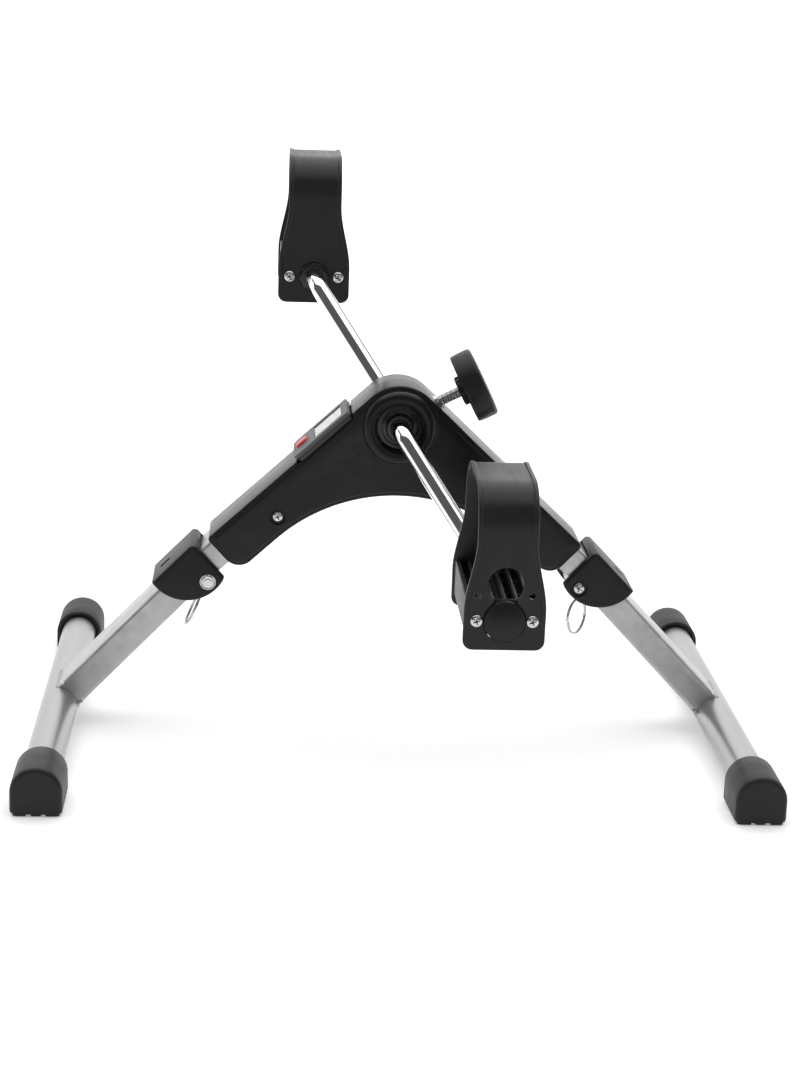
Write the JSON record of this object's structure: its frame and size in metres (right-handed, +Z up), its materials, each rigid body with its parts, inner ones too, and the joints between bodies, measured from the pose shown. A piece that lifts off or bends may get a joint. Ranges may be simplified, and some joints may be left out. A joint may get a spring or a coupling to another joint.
{
  "type": "pedal exerciser",
  "caption": "Folding under-desk pedal exerciser: cranked rod with strapped pedals, arched housing with a tension knob and a display, hinged legs on floor bars.",
  "frame": {"origin": "on the floor, midway between the foot bars and under the crank axle", "axes": "+X from the display's leg towards the knob's leg, +Y along the crank axle towards the left pedal, +Z up"},
  "size_m": [0.504, 0.408, 0.3929],
  "materials": {
    "frame_paint": "satin silver paint",
    "crank_chrome": "polished chrome",
    "housing_plastic": "fine textured black",
    "cap_plastic": "satin black",
    "pedal_plastic": "satin black",
    "strap_rubber": "satin black",
    "knob_plastic": "semi-gloss black",
    "bush_plastic": "semi-gloss black",
    "screw_steel": "bright zinc",
    "steel": "plain machined",
    "brass": "plain",
    "felt": "dense felt",
    "bezel_grey": "satin grey",
    "display_black": "gloss black",
    "window_clear": "clear",
    "lcd": "grey liquid crystal",
    "button_red": "satin red",
    "board_green": "solder mask",
    "wire_black": "insulation"
  },
  "bodies": {
    "frame": {"housing_right_shell": "housing_plastic", "housing_left_shell": "housing_plastic", "housing_screws": "screw_steel", "rear_upper_leg": "frame_paint", "front_upper_leg": "frame_paint", "hub_tube": "steel", "right_crank_bush": "bush_plastic", "left_crank_bush": "bush_plastic", "tension_insert": "brass", "display_case": "display_black", "display_bezel": "bezel_grey", "display_window": "window_clear", "lcd_panel": "lcd", "circuit_board": "board_green", "coin_cell": "steel", "battery_clip": "brass", "button_dome": "wire_black", "reed_switch": "window_clear", "sensor_wire": "wire_black"},
    "crank": {"crank_rod": "crank_chrome", "brake_drum": "steel", "sensor_magnet": "steel", "right_axle_clip": "steel", "left_axle_clip": "steel"},
    "brake": {"brake_shoe": "steel", "brake_pad": "felt"},
    "knob": {"tension_screw": "steel", "tension_knob": "knob_plastic"},
    "button": {"reset_button": "button_red"},
    "right_pedal_unit": {"right_pedal": "pedal_plastic", "right_strap": "strap_rubber", "right_strap_screws": "screw_steel", "right_axle_cap": "cap_plastic", "right_pedal_bush": "bush_plastic"},
    "left_pedal_unit": {"left_pedal": "pedal_plastic", "left_strap": "strap_rubber", "left_strap_screws": "screw_steel", "left_axle_cap": "cap_plastic", "left_pedal_bush": "bush_plastic"},
    "rear_leg": {"rear_lower_leg": "frame_paint", "rear_floor_bar": "frame_paint", "rear_right_foot_cap": "cap_plastic", "rear_left_foot_cap": "cap_plastic", "rear_knuckle": "cap_plastic", "rear_pivot_bolt": "screw_steel", "rear_pivot_nut": "screw_steel", "rear_lock_spring": "steel"},
    "rear_lock": {"rear_lock_pin": "steel"},
    "rear_ring": {"rear_pull_ring": "screw_steel"},
    "front_leg": {"front_lower_leg": "frame_paint", "front_floor_bar": "frame_paint", "front_right_foot_cap": "cap_plastic", "front_left_foot_cap": "cap_plastic", "front_knuckle": "cap_plastic", "front_pivot_bolt": "screw_steel", "front_pivot_nut": "screw_steel", "front_lock_spring": "steel"},
    "front_lock": {"front_lock_pin": "steel"},
    "front_ring": {"front_pull_ring": "screw_steel"}
  },
  "joints": [
    {"name": "crank_spin", "type": "hinge", "parent": "frame", "child": "crank", "pos_m": [0, 0, 0.2235], "axis": [0, 1, 0], "continuous": true},
    {"name": "right_pedal_spin", "type": "hinge", "parent": "crank", "child": "right_pedal_unit", "pos_m": [0.05943, -0.1515, 0.13987], "axis": [0, 1, 0], "continuous": true},
    {"name": "left_pedal_spin", "type": "hinge", "parent": "crank", "child": "left_pedal_unit", "pos_m": [-0.05943, 0.1515, 0.30713], "axis": [0, 1, 0], "continuous": true},
    {"name": "rear_leg_fold", "type": "hinge", "parent": "frame", "child": "rear_leg", "pos_m": [-0.131, 0, 0.11], "axis": [0, -1, 0], "range_deg": [0, 130]},
    {"name": "front_leg_fold", "type": "hinge", "parent": "frame", "child": "front_leg", "pos_m": [0.131, 0, 0.11], "axis": [0, 1, 0], "range_deg": [0, 95]},
    {"name": "knob_turn", "type": "hinge", "parent": "brake", "child": "knob", "pos_m": [0.04455, 0, 0.2462], "axis": [0.891, 0, 0.454], "range_deg": [-340, 560]},
    {"name": "shoe_slide", "type": "slide", "parent": "frame", "child": "brake", "axis": [0.891, 0, 0.454], "range_m": [-0.00118, 0.00194]},
    {"name": "reset_press", "type": "slide", "parent": "frame", "child": "button", "axis": [0.6794, 0, -0.7337], "range_m": [0, 0.001], "stiffness_N_per_m": 800, "springref_m": -0.0008},
    {"name": "rear_lock_pull", "type": "slide", "parent": "rear_leg", "child": "rear_lock", "axis": [0.6794, 0, -0.7337], "range_m": [-0.003, 0], "stiffness_N_per_m": 250, "springref_m": -0.006, "deforming": ["rear_lock_spring"]},
    {"name": "front_lock_pull", "type": "slide", "parent": "front_leg", "child": "front_lock", "axis": [-0.6794, 0, -0.7337], "range_m": [-0.003, 0], "stiffness_N_per_m": 250, "springref_m": -0.006, "deforming": ["front_lock_spring"]},
    {"name": "rear_ring_swing", "type": "hinge", "parent": "rear_lock", "child": "rear_ring", "pos_m": [-0.13638, 0, 0.0952], "axis": [0, 1, 0], "range_deg": [-80, 15]},
    {"name": "front_ring_swing", "type": "hinge", "parent": "front_lock", "child": "front_ring", "pos_m": [0.13638, 0, 0.0952], "axis": [-0.5188, -0.7071, 0.4804], "range_deg": [-70, 45]}
  ],
  "couplings": [
    {"joint": "knob_turn", "follows": "shoe_slide", "rad_per_m": 5026.5}
  ]
}
